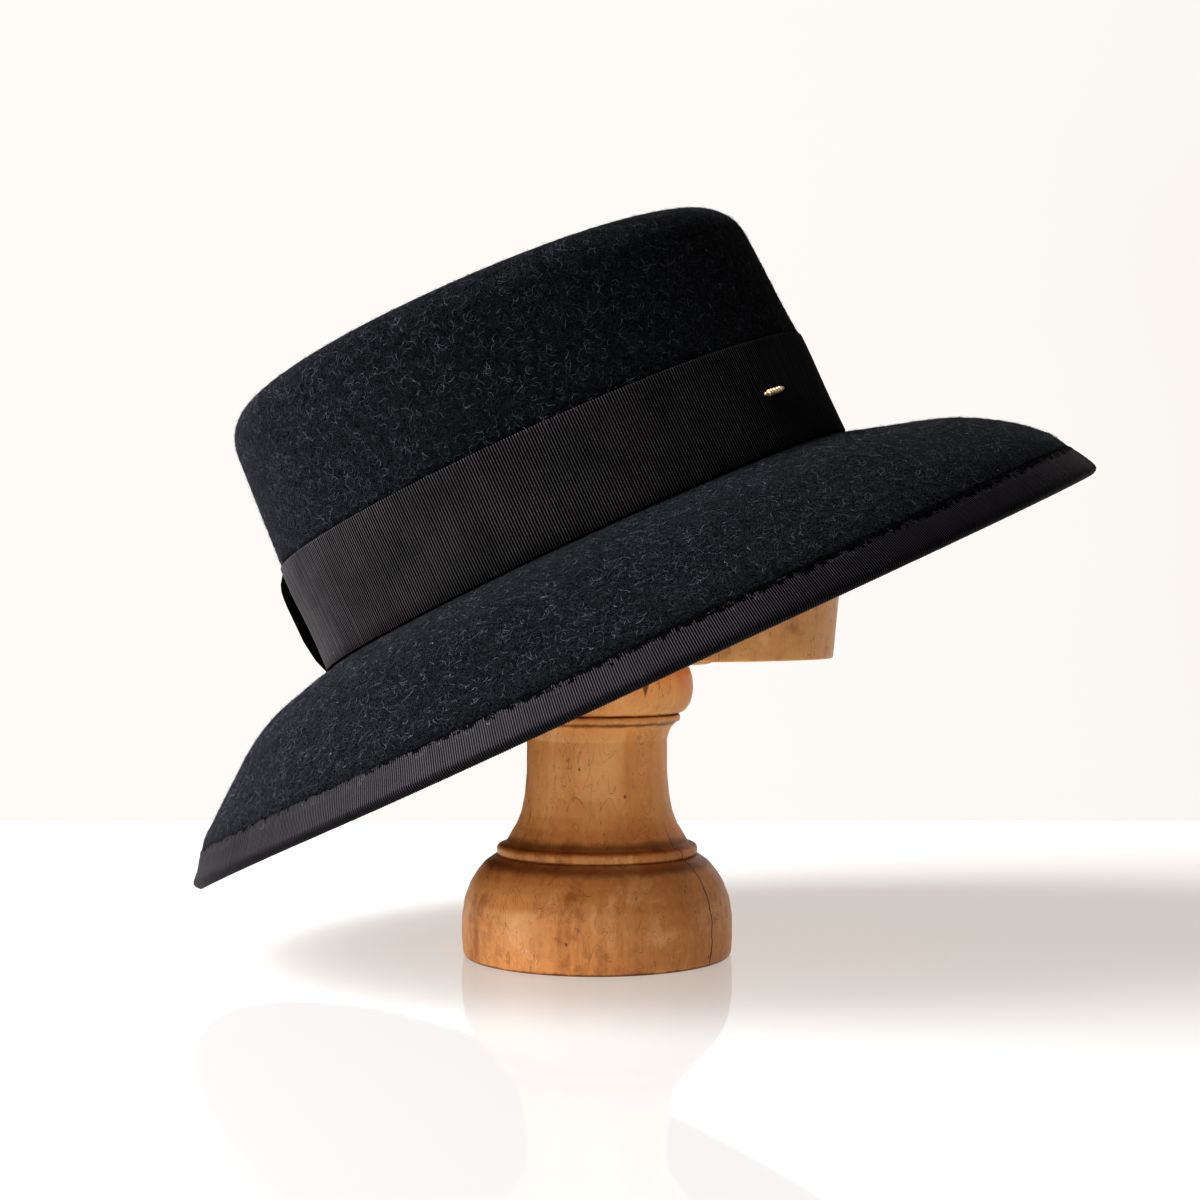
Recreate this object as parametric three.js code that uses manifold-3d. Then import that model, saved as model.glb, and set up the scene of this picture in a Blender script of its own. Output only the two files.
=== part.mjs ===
// Felt cloche hat on a turned wooden stand. Millimetres, +Z up.
// The origin is the centre of the stand's foot on the floor. +X is the raised front of the hat,
// -X its lowered back, and +Y the hat's left side, where the bow sits.
// Crown and brim share one outer surface: oval rings from the centre of the crown's top out
// over its corner, down its wall and along the brim to the edge.

import * as THREE from 'three';
import { mergeVertices } from 'three/addons/utils/BufferGeometryUtils.js';
import Module from 'manifold-3d';

const wasm = await Module();
wasm.setup();

// Room left between two pieces that touch
const clearance = 0.3;

// Crown
const crownHalfLength = 101.9;
const crownHalfWidth = 84.9;
const crownHeight = 95.7;
const crownTaper = 2.8;
const crownCorner = 14.5;
const crownDome = 2.5;
const crownFrontDrop = 2.3;

// Brim: how far it reaches out from the crown and how far it drops, at front, back and sides
const brimOutFront = 73;
const brimOutBack = 73.3;
const brimOutSide = 73.8;
const brimDropFront = 49.5;
const brimDropBack = 48.5;
const brimDropSide = 49.9;

// Cloth
const feltThickness = 2.6;
const ribbonThickness = 1;
const bandWidth = 39;
const bindingWidth = 12.5;
const ribbonProud = 0.2;

// Bow
const bowAngle = 150;
const bowLength = 92;
const bowWidth = 38;
const bowHeight = 4.7;
const bowPinch = 10;
const bowPinchDown = 1.2;
const knotWidth = 12;

// Bar pin
const pinLength = 10;
const pinAngle = -40;
const pinUp = 20;
const pinBar = 0.45;
const pinBead = 1.2;
const pinBeads = 5;
const pinBeadPitch = 1.5;

// Pedestal, a turned piece
const pedestalHeight = 104.4;
const footRadius = 48.7;
const footHeight = 36;
const lowerRingRadius = 36.1;
const lowerRingHeight = 4.2;
const neckRadius = 25.3;
const neckBottomRadius = 33;
const neckTopRadius = 28.6;
const neckHeight = 43.6;
const upperRingRadius = 30;
const upperRingHeight = 3;
const beadRadius = 34.7;
const beadNeckRadius = 29.2;
const beadHalfHeight = 9.8;

// Disc and block on the pedestal
const discRadius = 41.5;
const discThickness = 1.7;
const blockHalfLength = 85;
const blockHalfWidth = 66;
const blockForward = 3;
const blockHeight = 112;
const blockInset = 3;
const blockDraftHeight = 32;
const blockEdge = 0.8;
const blockShoulder = 16;

// How the hat lies on the block
const hatTilt = 24.9;
const hatRoll = -2.3;
const hatShift = -3.3;
const hatRise = 37.5;

// Facets
const hatSides = 64;
const blockSides = 48;
const turnedSides = 40;
const cornerSteps = 4;
const pinSides = 8;
const innerBrimRows = 6;
const arcStep = 0.5;
const edgeSteps = 200;
const weld = 0.0001;

// Rings of the crown: shares of its top's radius, and of the height of its wall above the band
const crownTopRows = [0.55];
const crownWallRows = [0.5, 0];

// Share of the brim's reach, and share of its drop at front and back
const brimRows = [
  { out: 0.0, front: 0.0, back: 0.0 },
  { out: 0.08, front: 0.043, back: 0.032 },
  { out: 0.2, front: 0.101, back: 0.085 },
  { out: 0.35, front: 0.168, back: 0.16 },
  { out: 0.5, front: 0.248, back: 0.284 },
  { out: 0.65, front: 0.367, back: 0.473 },
  { out: 0.78, front: 0.503, back: 0.64 },
  { out: 0.88, front: 0.655, back: 0.763 },
  { out: 0.95, front: 0.844, back: 0.922 },
  { out: 1.0, front: 1.0, back: 1.0 },
];

// Distances in from the brim's edge as shares of the binding's width: over its flat part, then
// round its nose. The nose's shoulders stand off its middle by a share of its half thickness.
const boundRows = [0.55, 0.16];
const noseRows = [0.05, 0];
const noseShoulder = 0.62;

// Outline of the foot as shares of its height and radius
const footRows = [
  { up: 0.0, out: 0.975 },
  { up: 0.03, out: 0.99 },
  { up: 0.18, out: 1.0 },
  { up: 0.4, out: 1.0 },
  { up: 0.58, out: 0.977 },
  { up: 0.73, out: 0.934 },
  { up: 0.83, out: 0.889 },
  { up: 0.93, out: 0.828 },
  { up: 1.0, out: 0.75 },
];

// Outline of the neck: share of its height, and share of the flare at its foot or head
const neckRows = [
  { up: 0.0, foot: 1.0, head: 0 },
  { up: 0.08, foot: 0.75, head: 0 },
  { up: 0.16, foot: 0.47, head: 0 },
  { up: 0.26, foot: 0.25, head: 0 },
  { up: 0.4, foot: 0.1, head: 0 },
  { up: 0.58, foot: 0, head: 0 },
  { up: 0.86, foot: 0, head: 0 },
  { up: 0.94, foot: 0, head: 0.35 },
  { up: 1.0, foot: 0, head: 1.0 },
];

// Upright edges of the two rings as shares of their heights
const lowerRingRows = [0.2, 0.7];
const upperRingRows = [0.25, 0.8];

// Stations up the bead under the disc
const beadRows = [0, 0.08, 0.2, 0.4, 0.6, 0.8, 1];

// Stations along the bow as shares of its flat run, and the degrees round each of its ends
const bowRows = [-1, -0.8, -0.6, -0.4, -0.15, 0.15, 0.4, 0.6, 0.8, 1];
const bowEndTurns = [-45, 0, 45];

// Stations along a bead of the pin as shares of its pitch
const pinRows = [-0.45, -0.25, 0, 0.25, 0.45];

const turn = 2 * Math.PI;
const radians = THREE.MathUtils.degToRad;

// A closed mesh from rings of points. Open ends are closed by a point at their middle.
function skin(rings, closed) {
  const count = rings[0].length;
  const points = rings.flat();
  const faces = [];
  const joins = closed ? rings.length : rings.length - 1;
  for (let row = 0; row < joins; row += 1) {
    const here = row * count;
    const next = ((row + 1) % rings.length) * count;
    for (let side = 0; side < count; side += 1) {
      const beside = (side + 1) % count;
      faces.push(here + side, next + side, next + beside);
      faces.push(here + side, next + beside, here + beside);
    }
  }
  if (!closed) {
    const last = (rings.length - 1) * count;
    points.push(middle(rings[0]), middle(rings[rings.length - 1]));
    for (let side = 0; side < count; side += 1) {
      const beside = (side + 1) % count;
      faces.push(points.length - 2, side, beside);
      faces.push(points.length - 1, last + beside, last + side);
    }
  }
  const geometry = new THREE.BufferGeometry().setFromPoints(points);
  geometry.setIndex(faces);
  return geometry;
}

function middle(ring) {
  const sum = new THREE.Vector3();
  ring.forEach((point) => sum.add(point));
  return sum.divideScalar(ring.length);
}

function ringOf(sides, place) {
  return Array.from({ length: sides }, (_, side) => place((side * turn) / sides));
}

function merged(geometry) {
  geometry.deleteAttribute('normal');
  geometry.deleteAttribute('uv');
  return mergeVertices(geometry, weld);
}

function solidOf(geometry) {
  const clean = merged(geometry.clone());
  return new wasm.Manifold(new wasm.Mesh({
    numProp: 3,
    vertProperties: new Float32Array(clean.attributes.position.array),
    triVerts: new Uint32Array(clean.index.array),
  }));
}

function geometryOf(solid) {
  const mesh = solid.getMesh();
  const geometry = new THREE.BufferGeometry();
  geometry.setAttribute('position', new THREE.BufferAttribute(mesh.vertProperties, 3));
  geometry.setIndex(new THREE.BufferAttribute(mesh.triVerts, 1));
  return geometry;
}

// Crown

// A point of the crown at a height, moved in from the base oval. The top falls to the front.
function crownPoint(angle, height, inset) {
  const x = (crownHalfLength - inset) * Math.cos(angle);
  const y = (crownHalfWidth - inset) * Math.sin(angle);
  const fall = (crownFrontDrop * height * x) / (crownHeight * crownHalfLength);
  return new THREE.Vector3(x, y, height - fall);
}

// Ribbon sinks into the felt by this much
const press = ribbonThickness + clearance - ribbonProud;
const bandLow = clearance;
const bandHigh = bandLow + bandWidth;
const bandStep = bandHigh + clearance;

// The wall stands upright behind the band and draws in above it
function wallInset(height) {
  return (crownTaper * Math.max(0, height - bandStep)) / (crownHeight - bandStep);
}

function crownWallRing(height, grow) {
  return ringOf(hatSides, (angle) => crownPoint(angle, height, wallInset(height) - grow));
}

// Rings from the middle of the top to the foot of the wall, with one where the band begins
function crownRings() {
  const wallHeight = crownHeight - crownCorner;
  const topInset = wallInset(wallHeight) + crownCorner;
  const rings = crownTopRows.map((share) => ringOf(hatSides, (angle) => {
    const point = crownPoint(angle, crownHeight, topInset);
    const rise = crownDome * (1 - share * share);
    point.set(point.x * share, point.y * share, THREE.MathUtils.lerp(crownHeight, point.z, share) + rise);
    return point;
  }));
  for (let step = 0; step <= cornerSteps; step += 1) {
    const bend = (step / cornerSteps) * (Math.PI / 2);
    const height = wallHeight + crownCorner * Math.cos(bend);
    const inset = topInset - crownCorner * Math.sin(bend);
    rings.push(ringOf(hatSides, (angle) => crownPoint(angle, height, inset)));
  }
  crownWallRows.forEach((share) => {
    rings.push(crownWallRing(THREE.MathUtils.lerp(bandStep, wallHeight, share), 0));
  });
  rings.push(crownWallRing(0, 0));
  return rings;
}

// Brim

function roundBrim(angle, front, back, side) {
  const end = Math.cos(angle) > 0 ? front : back;
  return side + (end - side) * Math.cos(angle) ** 2;
}

const frontOutline = new THREE.SplineCurve(brimRows.map((row) => new THREE.Vector2(row.out, row.front)));
const backOutline = new THREE.SplineCurve(brimRows.map((row) => new THREE.Vector2(row.out, row.back)));

// A point of the brim. The way runs from 0 at the crown to 1 at the edge.
function brimPoint(angle, way) {
  const foot = crownPoint(angle, 0, 0);
  const outward = new THREE.Vector3(foot.x / crownHalfLength ** 2, foot.y / crownHalfWidth ** 2, 0);
  outward.normalize();
  const front = frontOutline.getPoint(way);
  const back = backOutline.getPoint(way);
  const frontShare = (1 + Math.cos(angle)) / 2;
  const out = roundBrim(angle, brimOutFront, brimOutBack, brimOutSide) * front.x;
  const drop = roundBrim(angle, brimDropFront, brimDropBack, brimDropSide);
  const down = drop * THREE.MathUtils.lerp(back.y, front.y, frontShare);
  return foot.addScaledVector(outward, out).setZ(-down);
}

// The way at a distance in from the edge, measured along the brim
function wayFromEdge(angle, distance) {
  let length = 0;
  let last = brimPoint(angle, 1);
  for (let step = 1; step <= edgeSteps; step += 1) {
    const way = 1 - step / edgeSteps;
    const point = brimPoint(angle, way);
    const stride = point.distanceTo(last);
    if (length + stride >= distance) {
      return way + (length + stride - distance) / stride / edgeSteps;
    }
    length += stride;
    last = point;
  }
  return 0;
}

function edgeRing(distance) {
  return ringOf(hatSides, (angle) => brimPoint(angle, wayFromEdge(angle, distance)));
}

// Rings from the crown to where the binding begins
function brimRings() {
  const starts = ringOf(hatSides, (angle) => ({ angle, way: wayFromEdge(angle, bindingWidth) }));
  return Array.from({ length: innerBrimRows }, (_, row) => {
    const share = (row + 1) / (innerBrimRows + 0.5);
    return starts.map(({ angle, way }) => brimPoint(angle, way * share));
  });
}

// Each point of each ring moved along the surface's outward direction. Corners are mitred.
function lifted(rings, rise) {
  const count = rings[0].length;
  return rings.map((ring, row) => ring.map((point, side) => {
    const before = ring[(side + count - 1) % count];
    const after = ring[(side + 1) % count];
    const along = after.clone().sub(before);
    const normals = [];
    if (row > 0) {
      normals.push(point.clone().sub(rings[row - 1][side]).cross(along).normalize());
    }
    if (row < rings.length - 1) {
      normals.push(rings[row + 1][side].clone().sub(point).cross(along).normalize());
    }
    const first = normals[0];
    const second = normals[normals.length - 1];
    const mitre = first.clone().add(second).divideScalar(1 + first.dot(second));
    return point.clone().addScaledVector(mitre, rise);
  }));
}

function feltBody() {
  const crown = crownRings();
  const brim = brimRings();
  const behindBand = [crownWallRing(bandStep, -press), crownWallRing(0, -press)];
  const start = edgeRing(bindingWidth);
  const bound = [start, ...boundRows.map((share) => edgeRing(share * bindingWidth))];
  const underBinding = lifted(bound, -press);
  const inside = lifted([...crown, ...brim, ...bound], -feltThickness).reverse();
  const foot = crown[crown.length - 1];
  const above = crown.slice(0, -1);
  return skin([...above, ...behindBand, foot, ...brim, start, ...underBinding, ...inside], false);
}

// A ribbon folded round the brim's edge: out over the felt, round the edge and back below it
function brimBinding() {
  const bound = [...boundRows, ...noseRows].map((share) => edgeRing(share * bindingWidth));
  const rows = [edgeRing(bindingWidth - clearance), ...bound];
  const outer = ribbonProud;
  const inner = ribbonProud - ribbonThickness;
  const below = -feltThickness - clearance;
  const lowest = below - ribbonThickness;
  const belly = (outer + lowest) / 2;
  const shoulder = (outer - belly) * noseShoulder;
  const layer = (rise) => lifted(rows, rise);
  const [top, lining, bed, sole] = [outer, inner, below, lowest].map(layer);
  const nose = layer(belly);
  const upper = layer(belly + shoulder);
  const lower = layer(belly - shoulder);
  const turnIn = edgeRing(ribbonThickness);
  const inside = lifted([rows[2], turnIn], belly)[1];
  return skin([
    top[0], top[1], top[2], upper[3], nose[4], lower[3], sole[2], sole[1], sole[0],
    bed[0], bed[1], bed[2], inside, lining[2], lining[1], lining[0],
  ], true);
}

function hatBand() {
  const inner = ribbonProud - ribbonThickness;
  return skin([
    crownWallRing(bandHigh, ribbonProud), crownWallRing(bandLow, ribbonProud),
    crownWallRing(bandLow, inner), crownWallRing(bandHigh, inner),
  ], true);
}

// Things laid on the band

// The crown's angle at a distance along its base from a starting angle, clockwise from above
function angleAlong(startDegrees, distance) {
  let angle = radians(startDegrees);
  const steps = Math.max(1, Math.ceil(Math.abs(distance) / arcStep));
  for (let step = 0; step < steps; step += 1) {
    const reach = Math.hypot(crownHalfLength * Math.sin(angle), crownHalfWidth * Math.cos(angle));
    angle -= distance / steps / reach;
  }
  return angle;
}

// Bends a flat geometry round the band: x along it, y out from its face, z up the crown
function onBand(geometry, startDegrees) {
  const clean = merged(geometry);
  const position = clean.attributes.position;
  for (let index = 0; index < position.count; index += 1) {
    const angle = angleAlong(startDegrees, position.getX(index));
    const height = position.getZ(index);
    const point = crownPoint(angle, height, wallInset(height));
    const out = new THREE.Vector3(Math.cos(angle) / crownHalfLength, Math.sin(angle) / crownHalfWidth, 0);
    point.addScaledVector(out.normalize(), ribbonProud + position.getY(index));
    position.setXYZ(index, point.x, point.y, point.z);
  }
  return clean;
}

// How far the bow is drawn in at a distance from its middle, from 1 under the knot to 0 at its ends
function pinch(along) {
  const free = (bowLength - knotWidth) / 2;
  const share = Math.max(0, Math.abs(along) - knotWidth / 2) / free;
  return (1 - Math.min(1, share)) ** 2;
}

const bowMiddle = (bandLow + bandHigh) / 2;
const bowEndRadius = (bowHeight - ribbonThickness) / 2;

function bowFace(along) {
  return clearance + bowHeight - bowPinchDown * pinch(along);
}

// A flattened loop of ribbon, drawn in at the middle. Its way runs along the band and back.
function bowLoops() {
  const run = bowLength / 2 - bowEndRadius - ribbonThickness / 2;
  const alongs = bowRows.map((share) => share * run);
  const under = alongs.map((along) => ({ along, out: clearance + ribbonThickness / 2, bend: -90 }));
  const over = alongs.map((along) => ({ along, out: bowFace(along) - ribbonThickness / 2, bend: 90 }));
  const end = (side) => bowEndTurns.map((bend) => ({
    along: side * (run + bowEndRadius * Math.cos(radians(bend))),
    out: clearance + bowHeight / 2 + side * bowEndRadius * Math.sin(radians(bend)),
    bend: side > 0 ? bend : 180 + bend,
  }));
  const stations = [...under, ...end(1), ...over.reverse(), ...end(-1)];
  const rings = stations.map(({ along, out, bend }) => {
    const half = (bowWidth - bowPinch * pinch(along)) / 2;
    const corner = (layer, up) => new THREE.Vector3(
      along + layer * Math.cos(radians(bend)),
      out + layer * Math.sin(radians(bend)),
      bowMiddle + up * half,
    );
    const skinHalf = ribbonThickness / 2;
    return [corner(skinHalf, -1), corner(skinHalf, 1), corner(-skinHalf, 1), corner(-skinHalf, -1)];
  });
  return onBand(skin(rings, true), bowAngle);
}

// A short ribbon over the middle of the bow with its ends turned down to the band
function bowKnot() {
  const inside = (bowWidth - bowPinch) / 2 + clearance;
  const outside = inside + ribbonThickness;
  const bed = bowFace(0) + clearance;
  const top = bed + ribbonThickness;
  const section = new THREE.Shape([
    new THREE.Vector2(clearance, -outside), new THREE.Vector2(clearance, -inside),
    new THREE.Vector2(bed, -inside), new THREE.Vector2(bed, inside),
    new THREE.Vector2(clearance, inside), new THREE.Vector2(clearance, outside),
    new THREE.Vector2(top, outside), new THREE.Vector2(top, -outside),
  ]);
  const strap = new THREE.ExtrudeGeometry(section, { depth: knotWidth, steps: 2, bevelEnabled: false });
  const position = strap.attributes.position;
  for (let index = 0; index < position.count; index += 1) {
    const [out, up, along] = [position.getX(index), position.getY(index), position.getZ(index)];
    position.setXYZ(index, along - knotWidth / 2, out, bowMiddle + up);
  }
  return onBand(strap, bowAngle);
}

// A turned bar with a row of beads, lying along the band
function barPin() {
  const outline = [new THREE.Vector2(0, -pinLength / 2), new THREE.Vector2(pinBar, -pinLength / 2)];
  for (let bead = 0; bead < pinBeads; bead += 1) {
    const centre = (bead - (pinBeads - 1) / 2) * pinBeadPitch;
    pinRows.forEach((share) => {
      const radius = pinBead * Math.sqrt(1 - (2 * share) ** 2);
      outline.push(new THREE.Vector2(Math.max(pinBar, radius), centre + share * pinBeadPitch));
    });
  }
  outline.push(new THREE.Vector2(pinBar, pinLength / 2), new THREE.Vector2(0, pinLength / 2));
  const bar = new THREE.LatheGeometry(outline, pinSides).rotateZ(-Math.PI / 2);
  bar.translate(0, clearance + pinBead, pinUp);
  return onBand(bar, pinAngle);
}

// Stand

function turned(outline) {
  const points = outline.map(([radius, height]) => new THREE.Vector2(radius, height));
  return merged(new THREE.LatheGeometry(points, turnedSides).rotateX(Math.PI / 2));
}

function standPedestal() {
  const neckBase = footHeight + lowerRingHeight;
  const neckTop = neckBase + neckHeight;
  const beadMiddle = neckTop + upperRingHeight + beadHalfHeight;
  const outline = [[0, 0]];
  footRows.forEach((row) => outline.push([row.out * footRadius, row.up * footHeight]));
  lowerRingRows.forEach((up) => outline.push([lowerRingRadius, footHeight + lowerRingHeight * up]));
  neckRows.forEach((row) => {
    const foot = (neckBottomRadius - neckRadius) * row.foot;
    const head = (neckTopRadius - neckRadius) * row.head;
    outline.push([neckRadius + foot + head, neckBase + row.up * neckHeight]);
  });
  upperRingRows.forEach((up) => outline.push([upperRingRadius, neckTop + upperRingHeight * up]));
  const topShare = Math.min(1, (pedestalHeight - beadMiddle) / beadHalfHeight);
  beadRows.forEach((share) => {
    const rise = THREE.MathUtils.lerp(-1, topShare, share);
    const bulge = (beadRadius - beadNeckRadius) * Math.sqrt(1 - rise * rise);
    outline.push([beadNeckRadius + bulge, beadMiddle + beadHalfHeight * rise]);
  });
  outline.push([0, pedestalHeight]);
  return turned(outline);
}

const discBase = pedestalHeight + clearance;
const blockBase = discBase + discThickness + clearance;

function standDisc() {
  return turned([
    [0, discBase], [discRadius, discBase],
    [discRadius, discBase + discThickness], [0, discBase + discThickness],
  ]);
}

function blockRing(height, inset) {
  return ringOf(blockSides, (angle) => new THREE.Vector3(
    blockForward + (blockHalfLength - inset) * Math.cos(angle),
    (blockHalfWidth - inset) * Math.sin(angle),
    blockBase + height,
  ));
}

// The hollow of the crown, carried on down along the hat's own axis
function crownHollow() {
  const inner = lifted(crownRings(), -feltThickness - clearance);
  const hem = crownWallRing(0, -feltThickness - clearance);
  const low = hem.map((point) => point.clone().setZ(-blockHeight));
  return skin([...inner.slice(0, -1), hem, low], false);
}

// The block is cut where the tipped crown rests on it
function standBlock(hatMatrix) {
  const rings = [];
  for (let step = 0; step <= cornerSteps; step += 1) {
    const bend = (step / cornerSteps) * (Math.PI / 2);
    const inset = blockShoulder * (1 - Math.sin(bend));
    rings.push(blockRing(blockHeight - blockShoulder * (1 - Math.cos(bend)), inset));
  }
  rings.push(blockRing(blockDraftHeight, 0));
  rings.push(blockRing(blockEdge, blockInset), blockRing(0, blockInset + blockEdge));
  const hollow = solidOf(crownHollow().applyMatrix4(hatMatrix));
  return geometryOf(solidOf(skin(rings, false)).intersect(hollow));
}

// The hat and its stand

const felt = new THREE.MeshStandardMaterial({ color: 0x14161b, roughness: 0.95, metalness: 0 });
const ribbon = new THREE.MeshStandardMaterial({ color: 0x1c1a1e, roughness: 0.7, metalness: 0 });
const gilt = new THREE.MeshStandardMaterial({ color: 0xd9b26a, roughness: 0.3, metalness: 1 });
const maple = new THREE.MeshStandardMaterial({ color: 0xb9793f, roughness: 0.45, metalness: 0 });

function piece(name, geometry, material) {
  const mesh = new THREE.Mesh(geometry, material);
  mesh.name = name;
  return mesh;
}

const hat = new THREE.Group();
hat.position.set(hatShift, 0, blockBase + hatRise);
hat.rotation.set(radians(hatRoll), radians(-hatTilt), 0, 'YXZ');
hat.updateMatrix();
hat.add(piece('felt_body', feltBody(), felt));
hat.add(piece('brim_binding', brimBinding(), ribbon));
hat.add(piece('hat_band', hatBand(), ribbon));
hat.add(piece('bow_loops', bowLoops(), ribbon));
hat.add(piece('bow_knot', bowKnot(), ribbon));
hat.add(piece('bar_pin', barPin(), gilt));

const model = new THREE.Group();
model.add(piece('stand_pedestal', standPedestal(), maple));
model.add(piece('stand_disc', standDisc(), maple));
model.add(piece('stand_block', standBlock(hat.matrix), maple));
model.add(hat);

export default model;
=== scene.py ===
import math

import bpy
import numpy as np
from mathutils import Matrix, Vector


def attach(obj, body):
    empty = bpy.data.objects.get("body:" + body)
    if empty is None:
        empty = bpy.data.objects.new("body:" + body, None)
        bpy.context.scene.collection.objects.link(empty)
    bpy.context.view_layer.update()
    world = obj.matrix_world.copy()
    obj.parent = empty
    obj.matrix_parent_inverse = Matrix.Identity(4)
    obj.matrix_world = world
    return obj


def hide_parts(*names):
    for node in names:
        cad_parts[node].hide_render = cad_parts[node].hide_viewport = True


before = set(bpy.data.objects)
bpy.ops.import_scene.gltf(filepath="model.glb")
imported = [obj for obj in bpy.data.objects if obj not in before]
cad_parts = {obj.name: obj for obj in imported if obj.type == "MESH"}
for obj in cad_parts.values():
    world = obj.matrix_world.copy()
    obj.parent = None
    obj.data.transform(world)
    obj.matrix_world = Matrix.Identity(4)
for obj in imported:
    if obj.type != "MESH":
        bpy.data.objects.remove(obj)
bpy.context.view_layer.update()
MM = 0.001
TURN = 2 * math.pi

# Named sizes of the solids, in millimetres
CLEARANCE = 0.3
CROWN_LENGTH = 101.9
CROWN_WIDTH = 84.9
CROWN_HEIGHT = 95.7
CROWN_TAPER = 2.8
CROWN_CORNER = 14.5
CROWN_DOME = 2.5
CROWN_FALL = 2.3
BRIM_OUT = (73, 73.3, 73.8)
BRIM_DROP = (49.5, 48.5, 49.9)
FELT = 2.6
RIBBON = 1
BAND_WIDTH = 39
BINDING_WIDTH = 12.5
BOW_ANGLE = 150
BOW_LENGTH = 92
BOW_WIDTH = 38
BOW_HEIGHT = 4.7
BOW_PINCH = 10
BOW_PINCH_DOWN = 1.2
KNOT_WIDTH = 12
PIN_ANGLE = -40
PIN_UP = 20
PEDESTAL_HEIGHT = 104.4
DISC_RADIUS = 41.5
DISC_HEIGHT = 1.7
BLOCK_LENGTH = 85
BLOCK_WIDTH = 66
BLOCK_FORWARD = 3
BLOCK_HEIGHT = 112
BLOCK_INSET = 3
BLOCK_DRAFT = 32
BLOCK_SHOULDER = 16
HAT_TILT = 24.9
HAT_ROLL = -2.3
HAT_SHIFT = -3.3
HAT_RISE = 37.5
FOOT_RADIUS = 48.7
FOOT_HEIGHT = 36
LOWER_RING_RADIUS = 36.1
LOWER_RING_HEIGHT = 4.2
NECK_RADIUS = 25.3
NECK_BOTTOM_RADIUS = 33
NECK_TOP_RADIUS = 28.6
NECK_HEIGHT = 43.6
UPPER_RING_RADIUS = 30
UPPER_RING_HEIGHT = 3
BEAD_RADIUS = 34.7
BEAD_NECK_RADIUS = 29.2
BEAD_HALF_HEIGHT = 9.8

DISC_BASE = PEDESTAL_HEIGHT + CLEARANCE
BLOCK_BASE = DISC_BASE + DISC_HEIGHT + CLEARANCE
BAND_TOP = CLEARANCE + BAND_WIDTH
BAND_STEP = BAND_TOP + CLEARANCE
PRESS = 1.1
RIB_PITCH = 0.98
RIB_STEPS = 4
BINDING_PITCH = 0.8
BINDING_STEPS = 3
BAND_MIDDLE = CLEARANCE + BAND_WIDTH / 2
PIN_LENGTH = 10
PIN_BAR = 0.45
PIN_BEAD = 1.2
PIN_BEADS = 5
PIN_PITCH = 1.5
FIBRE_LENGTH = (1.8, 4.4)
FIBRE_WIDTH = (0.12, 0.18)
FIBRE_CURL = (0.15, 0.8)
FIBRE_STATIONS = 5
CROWN_FIBRES = 24000
BRIM_FIBRES = 27000
# Place over the binding's width past which a ragged painted shadow lies, where it meets the felt
EDGE_SHADOW_FROM = 9.8
WAVE_COUNT = 9
WAVE_STEPS = (0.5, 3)

# Curling lines in the felt: scale, width, weight, and in the wood: scale, width, start, strength
FELT_LINES = ((520, 0.03, 0.9), (760, 0.036, 0.9), (1080, 0.04, 0.7))
WOOD_LINES = ((110, 0.004, 0.44, 0.5), (190, 0.007, 0.46, 0.5), (330, 0.012, 0.5, 0.45))

# Bands of painted shade round the turned wood, under and over its rings and at its foot: height, half width,
# strength. Spots on the side of the camera: place across and up, reach both ways. The crack's turn is in
# degrees.
PEDESTAL_SHADE_BANDS = ((0.2, 1.0, 0.85), (34.2, 3.0, 0.6), (36.3, 0.7, 0.4), (41.4, 2.8, 0.65), (83.7, 1.1, 0.8),
                  (86.9, 0.8, 0.6))
WOOD_KNOT = ((16.8, 97.8), (1.5, 5.0))
WOOD_SCUFFS = ((-24, 4.5), (7, 5))
CRACK_TURN = 34

# Colours
FELT_DEEP, FELT_GROUND = (0.002, 0.0022, 0.0028), (0.0028, 0.0031, 0.0039)
FELT_LINE, FELT_SPECK = (0.036, 0.0395, 0.048), (0.24, 0.25, 0.26)
FIBRE_DARK, FIBRE_PALE = (0.0045, 0.005, 0.0064), (0.13, 0.142, 0.168)
# Painted shade for the valleys between the ribs; painted shadow along the binding where it meets the felt
RIB_VALLEY_SHADE, RIBBON_EDGE_SHADOW = (0.0006, 0.0006, 0.0008), (0.0018, 0.0016, 0.0021)
RIBBON_THREAD, RIBBON_LINT = (0.15, 0.15, 0.16), (0.3, 0.3, 0.29)
BAND_TONES = ((0.033, 0.0306, 0.0336), (0.0555, 0.0508, 0.0552))
BINDING_TONES = ((0.0206, 0.0183, 0.0239), (0.0314, 0.0281, 0.0352))
# The bow's ribbon darkened to stand for the shade it lies in, on the far side of the hat
BOW_SHADE_TONES = ((0.0008, 0.0008, 0.001), (0.0012, 0.0012, 0.0014))
GILT_TONES = ((0.7, 0.42, 0.2), (1.0, 0.74, 0.48))
MAPLE_TONES = ((0.46, 0.18, 0.053), (0.79, 0.38, 0.145), (1.0, 0.6, 0.31))
LIMEWOOD_TONES = ((0.62, 0.28, 0.1), (0.86, 0.46, 0.185), (1.0, 0.62, 0.3))
# Painted light: the turned wood grows paler and yellower towards its top
WOOD_PAINTED_LIGHT = ((0.8, 0.36, 0.115), (1.0, 0.62, 0.28))
WOOD_LINE, WOOD_WORN, WOOD_PIT = (0.2, 0.075, 0.022), (0.92, 0.66, 0.38), (0.1, 0.032, 0.01)
# Painted shade for the bands round the rings; the colour of the crack
WOOD_BAND_SHADE, WOOD_CRACK = (0.13, 0.045, 0.014), (0.06, 0.02, 0.007)
KNOT_BROWN, SCUFF_PALE = (0.2, 0.065, 0.022), (0.95, 0.86, 0.72)
WALL_TONES = ((0.69, 0.674, 0.656), (0.65, 0.617, 0.585))

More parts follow.
